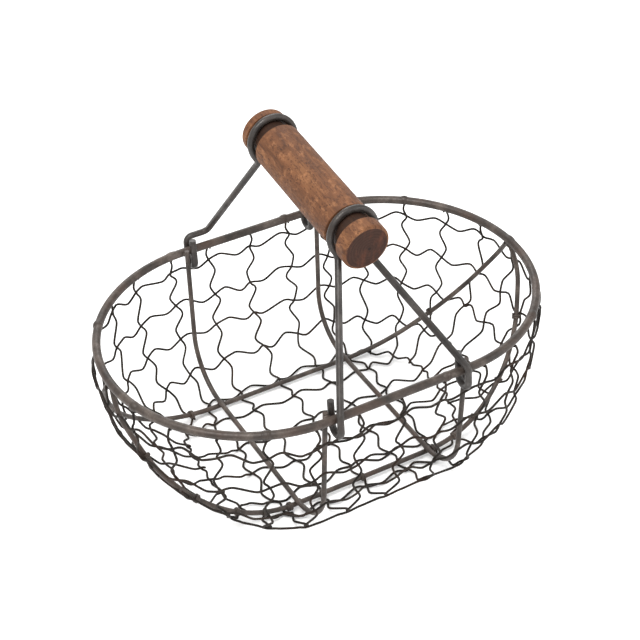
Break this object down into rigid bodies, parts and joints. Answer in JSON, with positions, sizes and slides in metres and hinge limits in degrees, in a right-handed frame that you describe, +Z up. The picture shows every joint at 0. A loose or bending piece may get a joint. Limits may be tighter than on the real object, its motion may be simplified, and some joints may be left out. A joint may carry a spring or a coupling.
{
  "type": "wire egg basket",
  "caption": "Oval wire basket for eggs: thick rim, U ribs and base wires, chicken-wire netting outside, and a wooden grip carried across it by two hinged wire bails.",
  "frame": {"origin": "on the resting plane, under the middle of the basket", "axes": "+X along the long axis of the rim, +Y across it to the side the handle leans to, +Z up"},
  "size_m": [0.2744, 0.1912, 0.1981],
  "materials": {
    "frame_wire": "dark antiqued steel wire, dull, with faint rust",
    "bail_wire": "dark antiqued steel wire, slightly polished where it turns on the wood",
    "net_wire": "thin dark annealed wire, dull",
    "grip_wood": "stained, worn, dull"
  },
  "bodies": {
    "basket": {"rim": "frame_wire", "rib_left": "frame_wire", "rib_right": "frame_wire", "base_wire_front": "frame_wire", "base_wire_back": "frame_wire", "net_uprights_front": "net_wire", "net_uprights_right": "net_wire", "net_uprights_back": "net_wire", "net_uprights_left": "net_wire", "net_row_1": "net_wire", "net_row_2": "net_wire", "net_row_3": "net_wire", "net_row_4": "net_wire", "net_row_5": "net_wire", "net_base_lengthwise": "net_wire", "net_base_crosswise": "net_wire"},
    "front_bail": {"front_bail": "bail_wire"},
    "back_bail": {"back_bail": "bail_wire"},
    "grip": {"grip": "grip_wood"}
  },
  "joints": [
    {"name": "front_bail_swing", "type": "hinge", "parent": "basket", "child": "front_bail", "pos_m": [0, -0.088, 0.0982], "axis": [1, 0, 0], "range_deg": [0, 12.1]},
    {"name": "grip_rock", "type": "hinge", "parent": "front_bail", "child": "grip", "pos_m": [0, -0.03635, 0.17291], "axis": [1, 0, 0], "range_deg": [-23.8, 0]},
    {"name": "back_bail_swing", "type": "hinge", "parent": "basket", "child": "back_bail", "pos_m": [0, 0.088, 0.0982], "axis": [1, 0, 0], "range_deg": [0, 12.1]}
  ],
  "couplings": [
    {"joint": "grip_rock", "follows": "front_bail_swing", "ratio": -1.966},
    {"joint": "back_bail_swing", "follows": "front_bail_swing", "ratio": 1}
  ]
}
